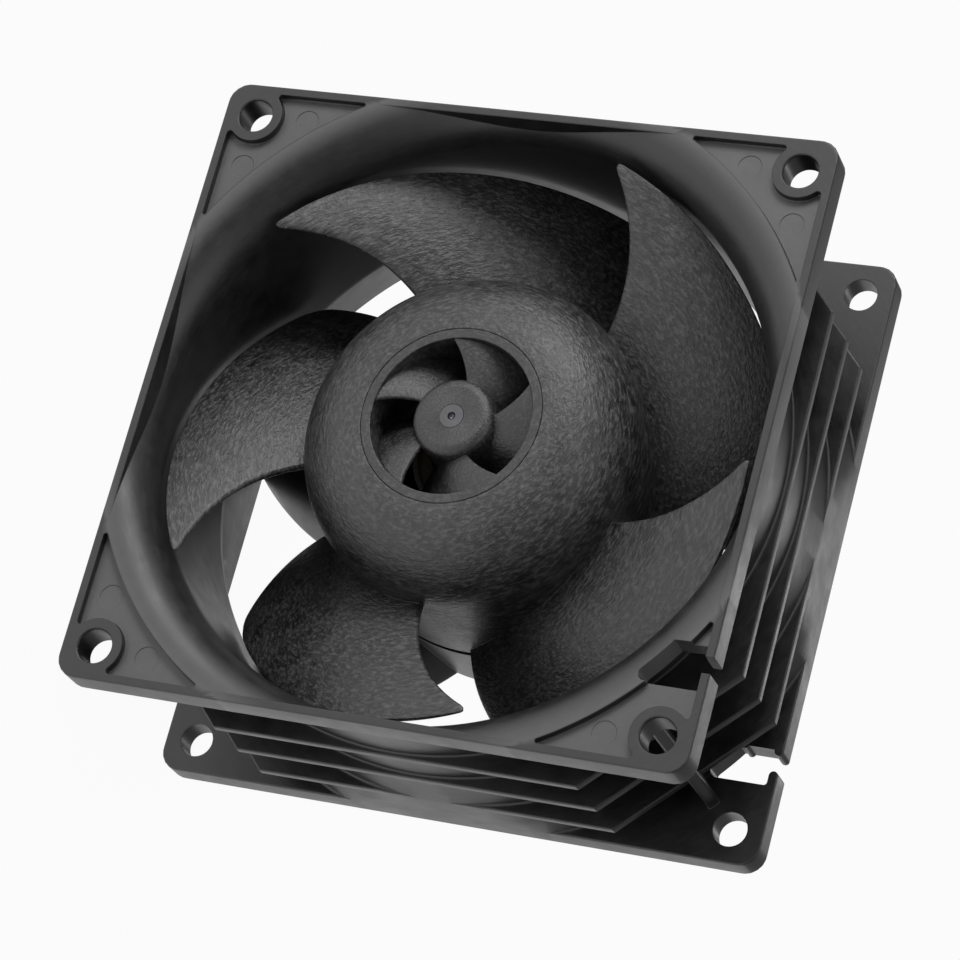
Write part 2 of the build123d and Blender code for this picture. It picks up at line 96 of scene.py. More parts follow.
corner_signs = ((-1, -1), (1, -1), (1, 1), (-1, 1))
table_corners = [(x * table_half_width, y * table_half_width, 0) for x, y in corner_signs]
table_mesh = bpy.data.meshes.new("table")
table_mesh.from_pydata(table_corners, [], [(0, 1, 2, 3)])
table = bpy.data.objects.new("table", table_mesh)
bpy.context.collection.objects.link(table)
table_paint = bpy.data.materials.new("white table")
tree = emptied(table_paint)
path = add(tree, "ShaderNodeLightPath").outputs
lit_colour = add(tree, "ShaderNodeMix", {0: path["Is Diffuse Ray"], 6: linear(table_colour),
                                         7: linear(table_bounce_colour)}, data_type="RGBA")
lit = add(tree, "ShaderNodeBsdfDiffuse", {"Color": lit_colour.outputs[2]})
plain = add(tree, "ShaderNodeEmission", {"Color": linear("ffffff"), "Strength": white_strength})
# The camera, reflections and clear pieces see plain white, apart from a share that keeps the shadow.
seen = add(tree, "ShaderNodeMath", {0: path["Is Camera Ray"], 1: path["Is Glossy Ray"]}, operation="MAXIMUM")
seen = add(tree, "ShaderNodeMath", {0: seen.outputs[0], 1: path["Is Transmission Ray"]}, operation="MAXIMUM")
white = add(tree, "ShaderNodeMath", {0: seen.outputs[0], 1: 1 - table_shadow_share}, operation="MULTIPLY")
both = add(tree, "ShaderNodeMixShader", {0: white.outputs[0], 1: lit.outputs[0], 2: plain.outputs[0]})
add(tree, "ShaderNodeOutputMaterial", {"Surface": both.outputs[0]})
table_mesh.materials.append(table_paint)

room_strength = 0.15
room_mirror_share = 0.1
surroundings = bpy.data.worlds.new("studio")
bpy.context.scene.world = surroundings
tree = emptied(surroundings)
path = add(tree, "ShaderNodeLightPath").outputs
dim = add(tree, "ShaderNodeBackground", {"Color": linear("ffffff"), "Strength": room_strength})
bright = add(tree, "ShaderNodeBackground", {"Color": linear("ffffff"), "Strength": white_strength})
# The room is white where it is looked at or seen through a clear piece, and far darker in reflections.
mirrored = add(tree, "ShaderNodeMath", {0: path["Is Glossy Ray"], 1: room_mirror_share}, operation="MULTIPLY")
seen = add(tree, "ShaderNodeMath", {0: path["Is Camera Ray"], 1: path["Is Transmission Ray"]},
           operation="MAXIMUM")
white = add(tree, "ShaderNodeMath", {0: seen.outputs[0], 1: mirrored.outputs[0]}, operation="MAXIMUM")
both = add(tree, "ShaderNodeMixShader", {0: white.outputs[0], 1: dim.outputs[0], 2: bright.outputs[0]})
add(tree, "ShaderNodeOutputWorld", {"Surface": both.outputs[0]})


def softbox(name, place, aim, width, height, power):
    """A rectangular area lamp that faces a point on the fan, in millimetres and watts."""
    data = bpy.data.lights.new(name, "AREA")
    data.shape = "RECTANGLE"
    data.size = width / 1000
    data.size_y = height / 1000
    data.energy = power
    lamp = bpy.data.objects.new(name, data)
    lamp.location = Vector(place) / 1000
    lamp.rotation_euler = (Vector(aim) - Vector(place)).to_track_quat("-Z", "Y").to_euler()
    bpy.context.collection.objects.link(lamp)


softbox("front softbox", place=(-500, -500, 130), aim=(0, 0, 40), width=260, height=400, power=2.1)
softbox("top softbox", place=(-100, -300, 800), aim=(0, 0, 40), width=600, height=600, power=0.9)
softbox("back strip", place=(-150, 500, 330), aim=(0, 0, 60), width=60, height=400, power=0.2)

bpy.context.scene.view_settings.view_transform = "Standard"


# Frame housing: the duct, both flanges, the fins, the stator vanes, the motor base and a
# cable post. It is one injection moulding in black glass-filled polyester, with soft
# edges, sunk corner pads and a slot in both flanges for the leads.
half_width = 40.0
frame_depth = 38.0
corner_radius = 2.55
front_flange = 4.0
rear_flange = 3.6
rear_face = frame_depth - rear_flange
hole_offset = 35.75
hole_radius = 2.15
lip_radius = 43.9
throat_radius = 38.1
bell_depth = 6.2
diffuser_start = 26.0
exit_radius = 42.3
barrel_wall = 1.2
duct_half_width = 38.95
fin_depths = (12.0, 20.1, 28.2)
fin_thickness = 1.2
fin_half_width = 39.95
fin_corner_cut = 16.5

edge_round = 0.25
lip_round = 0.15
diffuser_round = 0.6
fin_root_round = 0.3
fin_edge_round = 0.2
arc_points = 6
longest_cut = 0.45


def place(radius, angle, depth):
    """A point about the fan's axis, in metres: an angle in degrees, and a depth back from the intake face."""
    turn = radians(angle)
    return Vector((-radius * sin(turn), depth - frame_depth / 2, radius * cos(turn) + half_width)) / 1000


def from_side(angle):
    """The angle away from the middle of the nearest side of the frame."""
    return (angle + 45) % 90 - 45


def to_side(half, angle):
    """How far out a flat side lies in one direction."""
    return half / cos(radians(from_side(angle)))


def to_rounded_square(half, corner, angle):
    """How far out the edge of a square with rounded corners lies in one direction."""
    off = radians(abs(from_side(angle)))
    if half * sin(off) / cos(off) <= half - corner:
        return half / cos(off)
    middle = half - corner
    along = middle * (cos(off) + sin(off))
    return along + sqrt(along ** 2 - 2 * middle ** 2 + corner ** 2)


def to_fin_edge(angle):
    """How far out a fin's edge lies in one direction: a square with its corners cut off."""
    off = radians(abs(from_side(angle)))
    cut = (2 * fin_half_width - fin_corner_cut) / (cos(off) + sin(off))
    return min(fin_half_width / cos(off), cut)


def duct_radius(depth, wall=0.0):
    """Radius of the duct's own surface, or of the barrel a wall thickness outside it."""
    throat = throat_radius + wall
    if depth < bell_depth:
        share = min(1.0, (bell_depth - depth) / (bell_depth - wall))
        return lip_radius - (lip_radius - throat) * sqrt(1 - share ** 2)
    if depth > diffuser_start:
        past = (depth - diffuser_start) / (frame_depth - diffuser_start)
        return throat + (exit_radius - throat_radius) * past
    return throat


def softened(corners):
    """An outline of (radius, depth, rounding) corners with each corner replaced by a small arc."""
    outline = []
    for index, (radius, depth, rounding) in enumerate(corners):
        here = Vector((radius, depth))
        back = Vector(corners[index - 1][:2]) - here
        ahead = Vector(corners[(index + 1) % len(corners)][:2]) - here
        if rounding == 0:
            outline.append(here)
            continue
        cut = min(rounding, back.length * longest_cut, ahead.length * longest_cut)
        start = here + back.normalized() * cut
        end = here + ahead.normalized() * cut
        for step in range(arc_points):
            share = step / (arc_points - 1)
            first = start.lerp(here, share)
            last = here.lerp(end, share)
            outline.append(first.lerp(last, share))
    return outline


def housing_section(angle):
    """The housing's cross-section in one direction, from the flange's front edge round to its back."""
    outer = to_rounded_square(half_width, corner_radius, angle)
    wall = to_side(duct_half_width, angle)
    side = to_side(half_width, angle)
    lip = min(lip_radius, wall)
    corners = [(outer, 0.0, edge_round), ((outer + lip) / 2, 0.0, 0.0), (lip, 0.0, lip_round)]

    bell_reach = lip_radius - throat_radius
    lip_turn = degrees(asin(min(1.0, (lip_radius - lip) / bell_reach)))
    bell_steps = 22
    for step in range(bell_steps + 1):
        turn = radians(lip_turn + (90 - lip_turn) * step / bell_steps)
        corners.append((lip_radius - bell_reach * sin(turn), bell_depth - bell_depth * cos(turn), 0.0))

    corners.append((throat_radius, (bell_depth + diffuser_start) / 2, 0.0))
    corners.append((throat_radius, diffuser_start, diffuser_round))
    exit_edge = min(exit_radius, wall)
    cone = (exit_edge - throat_radius) / (exit_radius - throat_radius)
    exit_depth = diffuser_start + cone * (frame_depth - diffuser_start)
    for share in (0.33, 0.67, 1.0):
        corners.append((throat_radius + (exit_edge - throat_radius) * share,
                        diffuser_start + (exit_depth - diffuser_start) * share, 0.0))
    corners.append((exit_edge, frame_depth, edge_round))
    corners.append((outer, frame_depth, edge_round))
    corners.append((outer, rear_face, edge_round))

    def barrel(depth):
        return min(duct_radius(depth, barrel_wall), side, outer)

    below = rear_face
    for front in reversed(fin_depths):
        rear = front + fin_thickness
        corners.append((barrel(below), below, fin_root_round))
        corners.append((barrel((below + rear) / 2), (below + rear) / 2, 0.0))
        corners.append((barrel(rear), rear, fin_root_round))
        edge = max(to_fin_edge(angle), barrel(rear), barrel(front))
        corners.append((edge, rear, fin_edge_round))
        corners.append((edge, front, fin_edge_round))
        below = front
    corners.append((barrel(below), below, fin_root_round))
    barrel_steps = 7
    for step in range(1, barrel_steps):
        depth = below + (front_flange - below) * step / barrel_steps
        corners.append((barrel(depth), depth, 0.0))
    corners.append((barrel(front_flange), front_flange, fin_root_round))
    corners.append((outer, front_flange, edge_round))
    return softened(corners)


def cleaned(piece):
    """Joins doubled points, drops empty faces, fills small holes, splits large faces, turns all outwards."""
    same_point = 2e-6
    no_length = 1e-6
    most_sides = 6
    work = bmesh.new()
    work.from_mesh(piece.data)
    bmesh.ops.remove_doubles(work, verts=work.verts, dist=same_point)
    bmesh.ops.dissolve_degenerate(work, edges=work.edges, dist=no_length)
    bmesh.ops.holes_fill(work, edges=[edge for edge in work.edges if edge.is_boundary], sides=most_sides)
    many_sided = [face for face in work.faces if len(face.verts) > 4]
    bmesh.ops.triangulate(work, faces=many_sided, ngon_method="EAR_CLIP")
    bmesh.ops.recalc_face_normals(work, faces=work.faces)
    work.to_mesh(piece.data)
    work.free()


def new_piece(name, points, faces):
    """A mesh object in the scene."""
    mesh = bpy.data.meshes.new(name)
    mesh.from_pydata(points, [], faces)
    piece = bpy.data.objects.new(name, mesh)
    bpy.context.collection.objects.link(piece)
    return piece


def shell(name, rows, closed=True):
    """A mesh through closed rows of points. The rows close round too, or else both ends are filled."""
    count = len(rows[0])
    points = [point for row in rows for point in row]
    faces = []
    for row in range(len(rows) if closed else len(rows) - 1):
        here = row * count
        there = (row + 1) % len(rows) * count
        for index in range(count):
            ahead = (index + 1) % count
            faces.append((here + index, here + ahead, there + ahead, there + index))
    if not closed:
        faces.append(tuple(range(count)))
        faces.append(tuple(range(len(points) - count, len(points))))
    piece = new_piece(name, points, faces)
    cleaned(piece)
    return piece


# The section is taken every degree, also where a flat side or a fin's cut corner begins, and more
# finely near the frame's rounded corners.
fin_edge_length = sqrt(fin_half_width ** 2 + (fin_half_width - fin_corner_cut) ** 2)
chamfer_angle = degrees(acos((2 * fin_half_width - fin_corner_cut) / fin_edge_length / sqrt(2)))
key_offsets = (45 - chamfer_angle, degrees(acos(duct_half_width / lip_radius)),
               degrees(acos(half_width / lip_radius)), 41.0, 42.2, 43.4, 44.2, 45.0)
key_angles = []
for side_angle in (0, 90, 180, 270):
    for off in key_offsets:
        key_angles += [(side_angle + off) % 360, (side_angle - off) % 360]
directions = sorted({float(step) for step in range(360)} | set(key_angles))
housing = shell("housing", [[place(radius, angle, depth) for radius, depth in housing_section(angle)]
                            for angle in directions])


def flat(x, y, depth):
    """A point given across the picture (x to its right, y up) and back from the intake face, in metres."""
    return Vector((-y, depth - frame_depth / 2, x + half_width)) / 1000


def prism(name, levels):
    """A closed solid through flat outlines, each given as (points, depth)."""
    return shell(name, [[flat(x, y, depth) for x, y in points] for points, depth in levels], closed=False)


def inset(points, distance):
    """An outline moved inwards by a small distance, for points that run anticlockwise."""
    moved = []
    for index, point in enumerate(points):
        along = Vector(points[(index + 1) % len(points)]) - Vector(points[index - 1])
        normal = Vector((-along.y, along.x)).normalized()
        moved.append((point[0] + normal.x * distance, point[1] + normal.y * distance))
    return moved


def polar(radius, angle):
    """A flat point given by its distance from the axis and its angle in degrees."""
    turn = radians(angle)
    return (radius * cos(turn), radius * sin(turn))


def arc(centre_x, centre_y, radius, start, end, steps):
    """Points along an arc between two angles in degrees."""
    places = []
    for step in range(steps + 1):
        x, y = polar(radius, start + (end - start) * step / steps)
        places.append((centre_x + x, centre_y + y))
    return places


def turned_outline(points, angle):
    """The same outline turned about the axis, by an angle in degrees."""
    turn = radians(angle)
    return [(x * cos(turn) - y * sin(turn), x * sin(turn) + y * cos(turn)) for x, y in points]


def applied(piece):
    """Turns a piece's modifiers into plain mesh."""
    graph = bpy.context.evaluated_depsgraph_get()
    mesh = bpy.data.meshes.new_from_object(piece.evaluated_get(graph))
    piece.modifiers.clear()
    piece.data = mesh


def cut_by(piece, tools, operation):
    """Takes each tool's solid from a piece, or keeps only what is inside it, then removes the tools."""
    for tool in tools:
        cut = piece.modifiers.new("cut", "BOOLEAN")
        cut.operation = operation
        cut.solver = "EXACT"
        cut.object = tool
    applied(piece)
    for tool in tools:
        bpy.data.objects.remove(tool)


# A corner pad is sunk between the duct's lip, the flange's two sides and the boss round the screw hole.
pad_depth = 1.0
pad_tip_round = 0.3
boss_tip_round = 0.45
pad_foot = 0.12
pad_overshoot = 0.5
boss_radius = 3.5
pad_inner_radius = lip_radius + 0.2
tip_middle = duct_half_width - pad_tip_round
tip_reach = sqrt((pad_inner_radius + pad_tip_round) ** 2 - tip_middle ** 2)
tip_angle = degrees(acos(tip_reach / (pad_inner_radius + pad_tip_round)))
boss_middle = duct_half_width - boss_tip_round
boss_turn = degrees(acos((boss_middle - hole_offset) / (boss_radius + boss_tip_round)))
boss_tip = hole_offset - (boss_radius + boss_tip_round) * sin(radians(boss_turn))
tip_steps = 6
lip_steps = 44
boss_steps = 36

pad_outline = arc(tip_reach, tip_middle, pad_tip_round, 90, 180 + tip_angle, tip_steps)
pad_outline += arc(0, 0, pad_inner_radius, tip_angle, 90 - tip_angle, lip_steps)[1:-1]
pad_outline += arc(tip_middle, tip_reach, pad_tip_round, 270 - tip_angle, 360, tip_steps)
pad_outline += arc(boss_middle, boss_tip, boss_tip_round, 0, 180 - boss_turn, tip_steps)
pad_outline += arc(hole_offset, hole_offset, boss_radius, 360 - boss_turn, 90 + boss_turn, boss_steps)[1:-1]
pad_outline += arc(boss_tip, boss_middle, boss_tip_round, boss_turn - 90, 90, tip_steps)

pad_tools = []
for quarter in range(4):
    outline = turned_outline(pad_outline, 90 * quarter)
    pad_tools.append(prism("pad tool", [
        (outline, -pad_overshoot), (outline, pad_depth - pad_foot), (inset(outline, pad_foot), pad_depth)]))

# Seven round marks of the mould's ejector pins, a hair deeper than the pads.
pin_mark_radius = 1.5
pin_mark_depth = 0.07
pin_marks = ((29.1, 36.05), (36.0, 29.1), (-29.1, 36.05), (-36.0, 29.1),
             (-29.1, -36.05), (-36.0, -29.1), (29.1, -36.2))
mark_floor = pad_depth + pin_mark_depth
mark_steps = 40
for x, y in pin_marks:
    outline = arc(x, y, pin_mark_radius, 0, 360, mark_steps)[:-1]
    pad_tools.append(prism("pin mark tool", [(outline, pad_depth / 2), (outline, mark_floor)]))

# The holes widen to both faces. Each pair is a depth from the face and a share of the flare.
hole_flare = 0.2
hole_steps = 56
hole_rim = ((-0.3, 1.0), (0.0, 1.0), (0.08, 0.4), (0.25, 0.0))
hole_levels = hole_rim + tuple((frame_depth - depth, share) for depth, share in reversed(hole_rim))
hole_tools = []
for quarter in range(4):
    levels = []
    for depth, share in hole_levels:
        radius = hole_radius + share * hole_flare
        outline = arc(hole_offset, hole_offset, radius, 0, 360, hole_steps)[:-1]
        levels.append((turned_outline(outline, 90 * quarter), depth))
    hole_tools.append(prism("hole tool", levels))

slot_near = -24.2
slot_far = -29.6
mouth_near = -25.7
mouth_far = -27.7
slot_wall_radius = 42.4
slot_outer = 38.85
slot_corner = 0.4
slot_wall_round = 0.9
slot_overshoot = 1.0
slot_run_out = 0.6
rear_slot_near = -25.0
finger_middle = (slot_outer + half_width) / 2
finger_round = (half_width - slot_outer) / 2
nub_x = 35.1
nub_y = -24.85
nub_round = 0.5
beyond = half_width + slot_overshoot
slot_wall_steps = 10
round_steps = 8
corner_steps = 4


def slot_outline(near):
    """The pocket beside the duct, without its mouth: its wall along the duct and its far end."""
    round_y = slot_far + slot_wall_round
    round_turn = asin(round_y / (slot_wall_radius + slot_wall_round))
    round_x = (slot_wall_radius + slot_wall_round) * cos(round_turn)
    near_turn = degrees(asin(near / slot_wall_radius))
    points = arc(0, 0, slot_wall_radius, near_turn, degrees(round_turn), slot_wall_steps)
    points += arc(round_x, round_y, slot_wall_round, 180 + degrees(round_turn), 270, round_steps)[1:]
    points += arc(slot_outer - slot_corner, slot_far + slot_corner, slot_corner, 270, 360, corner_steps)
    return points


front_slot = slot_outline(slot_near)
front_slot += [(slot_outer, mouth_far), (beyond, mouth_far), (beyond, mouth_near), (slot_outer, mouth_near)]
front_slot += arc(slot_outer - slot_corner, slot_near - slot_corner, slot_corner, 0, 90, corner_steps)

# The rear flange's slot has rounded fingers at its mouth and a small nub on its near side.
nub_turn = degrees(asin((nub_y - rear_slot_near) / nub_round))
rear_slot = slot_outline(rear_slot_near)
rear_slot += arc(finger_middle, mouth_far - finger_round, finger_round, 180, 0, round_steps)
rear_slot += [(beyond, mouth_far - finger_round), (beyond, mouth_near + finger_round)]
rear_slot += arc(finger_middle, mouth_near + finger_round, finger_round, 360, 180, round_steps)
rear_slot += [(slot_outer, rear_slot_near)]
rear_slot += arc(nub_x, nub_y, nub_round, -nub_turn, nub_turn - 180, round_steps)

slot_tools = [
    prism("front slot tool", [
        (front_slot, -slot_overshoot), (front_slot, front_flange + slot_run_out)]),
    prism("rear slot tool", [
        (rear_slot, rear_face - slot_run_out), (rear_slot, frame_depth + slot_overshoot)]),
]
cut_by(housing, pad_tools + hole_tools + slot_tools, "DIFFERENCE")
cleaned(housing)


def rounded_off(past, length):
    """The share of a corner's cut that is reached at one place past its start, along an ellipse."""
    if length == 0 or past <= 0:
        return 0.0
    return 1 - sqrt(max(0.0, 1 - (past / length) ** 2))


def blade_blank(name, chord_steps, span_steps, nose, ends_fullness, tip_round, corners=(0.0, 0.0, 0.0, 0.0)):
    """A closed unit blade: x runs along the chord, y out along the span, z from the lower to the upper face.

    nose is the share of the chord over which the edges are rounded. ends_fullness is the thickness at
    the edges as a share of the full one. corners holds how much of the chord is rounded off at the
    tip's leading and trailing corner, and over how much of the span.
    """
    edge_turns = (0, 25, 50, 90)
    tip_turns = (0, 30, 60, 90)
    tip_fullness = 0.45
    chords = [nose * (1 - cos(radians(turn))) for turn in edge_turns]
    chords += [nose + (1 - 2 * nose) * step / chord_steps for step in range(1, chord_steps)]
    chords += [1 - chord for chord in chords[len(edge_turns) - 1::-1]]
    spans = [step / span_steps * (1 - tip_round) for step in range(span_steps)]
    spans += [1 - tip_round * (1 - sin(radians(turn))) for turn in tip_turns]
    lead_cut, lead_span, trail_cut, trail_span = corners
    rows = []
    for span in spans:
        start = lead_cut * rounded_off(span - 1 + lead_span, lead_span)
        end = trail_cut * rounded_off(span - 1 + trail_span, trail_span)
        near_tip = max(0.0, (span - 1 + tip_round) / tip_round)
        flatter = tip_fullness + (1 - tip_fullness) * sqrt(max(0.0, 1 - near_tip ** 2))
        upper = []
        for chord in chords:
            full = ends_fullness + (1 - ends_fullness) * sqrt(sin(pi * min(max(chord, 0.0), 1.0)))
            edge = min(chord, 1 - chord) / nose
            if edge < 1:
                full *= sqrt(max(0.0, 1 - (1 - edge) ** 2))
            upper.append((start + (1 - start - end) * chord, span, full * flatter))
        lower = [(x, y, -z) for x, y, z in upper[-2:0:-1]]
        rows.append([Vector(point) for point in upper + lower])

    count = len(rows[0])
    faces = []
    for row in range(len(rows) - 1):
        here = row * count
        there = here + count
        for index in range(count):
            ahead = (index + 1) % count
            faces.append((here + index, here + ahead, there + ahead, there + index))
    for row in (0, len(rows) - 1):
        for index in range(len(chords) - 1):
            ends = [index, index + 1, (count - index - 1) % count, (count - index) % count]
            faces.append(tuple(dict.fromkeys(row * count + end for end in ends)))
    blank = new_piece(name, [point for row in rows for point in row], faces)
    work = bmesh.new()
    work.from_mesh(blank.data)
    bmesh.ops.recalc_face_normals(work, faces=work.faces)
    work.to_mesh(blank.data)
    work.free()
    return blank


# Where a point of the unit blade goes. Each row is a result's name, the operation, and what it works
# on: earlier results, the tree's inputs, the unit blade's own places or plain numbers.
blade_formula = (
    # The radius, and how far out it is between the root and the tip.
    ("reach", "SUBTRACT", "Outer radius", "Inner radius"),
    ("sunk reach", "ADD", "reach", "Root sink"),
    ("sunk radius", "SUBTRACT", "Inner radius", "Root sink"),
    ("radius", "MULTIPLY_ADD", "sunk reach", "span", "sunk radius"),
    ("rise", "SUBTRACT", "radius", "Inner radius"),
    ("out", "DIVIDE", "rise", "reach"),
    # The middle surface: it turns evenly along the chord and falls ever more steeply.
    ("lead turn", "MULTIPLY_ADD", "Lead hook", "out", "Lead sweep"),
    ("lead place", "MULTIPLY_ADD", "lead turn", "out", "Lead angle"),
    ("trail turn", "MULTIPLY_ADD", "Trail hook", "out", "Trail sweep"),
    ("trail place", "MULTIPLY_ADD", "trail turn", "out", "Trail angle"),
    ("wrap", "SUBTRACT", "trail place", "lead place"),
    ("lead level", "MULTIPLY_ADD", "Lead rise", "out", "Lead depth"),
    ("trail level", "MULTIPLY_ADD", "Trail rise", "out", "Trail depth"),
    ("fall", "SUBTRACT", "trail level", "lead level"),
    ("bend", "SUBTRACT", 1.0, "Entry slope"),
    ("drop rate", "MULTIPLY_ADD", "bend", "chord", "Entry slope"),
    ("drop", "MULTIPLY", "drop rate", "chord"),
    ("double bend", "MULTIPLY", "bend", 2.0),
    ("slope", "MULTIPLY_ADD", "double bend", "chord", "Entry slope"),
    # The thickness, which is laid off square to that surface.
    ("wrap turn", "RADIANS", "wrap"),
    ("along", "MULTIPLY", "radius", "wrap turn"),
    ("down", "MULTIPLY", "fall", "slope"),
    ("along squared", "MULTIPLY", "along", "along"),
    ("down squared", "MULTIPLY", "down", "down"),
    ("length squared", "ADD", "along squared", "down squared"),
    ("length", "SQRT", "length squared"),
    ("taper", "SUBTRACT", "Tip thickness", "Root thickness"),
    ("thickness", "MULTIPLY_ADD", "taper", "out", "Root thickness"),
    ("half thickness", "MULTIPLY", "thickness", 0.5),
    ("offset", "MULTIPLY", "half thickness", "side"),
    ("shift", "DIVIDE", "offset", "length"),
    # The point, in millimetres and then in metres.
    ("place on chord", "MULTIPLY_ADD", "wrap", "chord", "lead place"),
    ("turn on chord", "RADIANS", "place on chord"),
    ("lean", "MULTIPLY", "shift", "down"),
    ("lean turn", "DIVIDE", "lean", "radius"),
    ("turn", "ADD", "turn on chord", "lean turn"),
    ("middle level", "MULTIPLY_ADD", "fall", "drop", "lead level"),
    ("sink", "MULTIPLY", "shift", "along"),
    ("level", "SUBTRACT", "middle level", "sink"),
    ("sine", "SINE", "turn"),
    ("cosine", "COSINE", "turn"),
    ("sideways", "MULTIPLY", "radius", "sine"),
    ("upwards", "MULTIPLY", "radius", "cosine"),
    ("backwards", "SUBTRACT", "level", "Middle depth"),
    ("x", "MULTIPLY", "sideways", -0.001),
    ("y", "MULTIPLY", "backwards", 0.001),
    ("z", "MULTIPLY", "upwards", 0.001),
    # The step between the copies, and the axis' height over the table in metres.
    ("step", "DIVIDE", 2 * pi, "Blades"),
    ("number turn", "MULTIPLY", "number", "step"),
    ("lift", "MULTIPLY", "Axis height", 0.001),
)


def blade_ring_tree():
    """Geometry Nodes that bend a unit blade to its place about the fan axis and repeat it round the hub."""
    tree = bpy.data.node_groups.new("blade ring", "GeometryNodeTree")
    tree.interface.new_socket("Geometry", in_out="INPUT", socket_type="NodeSocketGeometry")
    for name in ("Inner radius", "Outer radius", "Root sink", "Lead angle", "Lead sweep", "Lead hook",
                 "Lead depth", "Lead rise", "Trail angle", "Trail sweep", "Trail hook", "Trail depth",
                 "Trail rise", "Entry slope", "Root thickness", "Tip thickness", "Axis height",
                 "Middle depth"):
        tree.interface.new_socket(name, in_out="INPUT", socket_type="NodeSocketFloat")
    tree.interface.new_socket("Blades", in_out="INPUT", socket_type="NodeSocketInt")
    tree.interface.new_socket("Material", in_out="INPUT", socket_type="NodeSocketMaterial")
    tree.interface.new_socket("Geometry", in_out="OUTPUT", socket_type="NodeSocketGeometry")

    known = {socket.name: socket for socket in add(tree, "NodeGroupInput").outputs if socket.name}
    spot = add(tree, "ShaderNodeSeparateXYZ", {0: add(tree, "GeometryNodeInputPosition").outputs[0]})
    known["chord"], known["span"], known["side"] = spot.outputs
    known["number"] = add(tree, "GeometryNodeInputIndex").outputs[0]
    for name, operation, *values in blade_formula:
        inputs = {index: known.get(value, value) for index, value in enumerate(values)}
        known[name] = add(tree, "ShaderNodeMath", inputs, operation=operation).outputs[0]

    point = add(tree, "ShaderNodeCombineXYZ", {0: known["x"], 1: known["y"], 2: known["z"]})
    bent = add(tree, "GeometryNodeSetPosition", {"Geometry": known["Geometry"], "Position": point.outputs[0]})
    places = add(tree, "GeometryNodePoints", {"Count": known["Blades"]})
    turn = add(tree, "ShaderNodeCombineXYZ", {1: known["number turn"]})
    copies = add(tree, "GeometryNodeInstanceOnPoints", {
        "Points": places.outputs[0], "Instance": bent.outputs[0], "Rotation": turn.outputs[0]})
    plain = add(tree, "GeometryNodeRealizeInstances", {0: copies.outputs[0]})
    lift = add(tree, "ShaderNodeCombineXYZ", {2: known["lift"]})
    placed = add(tree, "GeometryNodeSetPosition", {"Geometry": plain.outputs[0], "Offset": lift.outputs[0]})
    dressed = add(tree, "GeometryNodeSetMaterial", {
        "Geometry": placed.outputs[0], "Material": known["Material"]})
    add(tree, "NodeGroupOutput", {0: dressed.outputs[0]})
    return tree


blade_tree = blade_ring_tree()


def blade_ring(blank, sizes):
    """Runs the tree on a unit blade with its sizes by name and leaves a plain mesh in the blank's place."""
    sizes = {"Axis height": half_width, "Middle depth": frame_depth / 2, **sizes}
    ring = blank.modifiers.new("ring", "NODES")
    ring.node_group = blade_tree
    for item in blade_tree.interface.items_tree:
        if item.in_out == "INPUT" and item.name in sizes:
            ring[item.identifier] = sizes[item.name]
    applied(blank)
    cleaned(blank)
    return blank


# The fibres' grey is also the pale tone painted on the pad floors and the lip: partly their coarser skin,
# partly a painted sheen.
fibre_and_sheen_colour = "8c8c8c"
frost_and_sheen_share = 0.62
# Beyond this distance from the axis, the specks are longer round it than outwards.
fibre_spread = 7.0
# The patterns' sizes: 2.4 specks, 0.42 of a cloud or 0.06 of a swirl fit in a millimetre.
speck_size = 1 / 2.4
cloud_size = 1 / 0.42
swirl_size = 1 / 0.06
edge_softness = 0.16
wave_depth = 0.06
grain_depth = 0.2


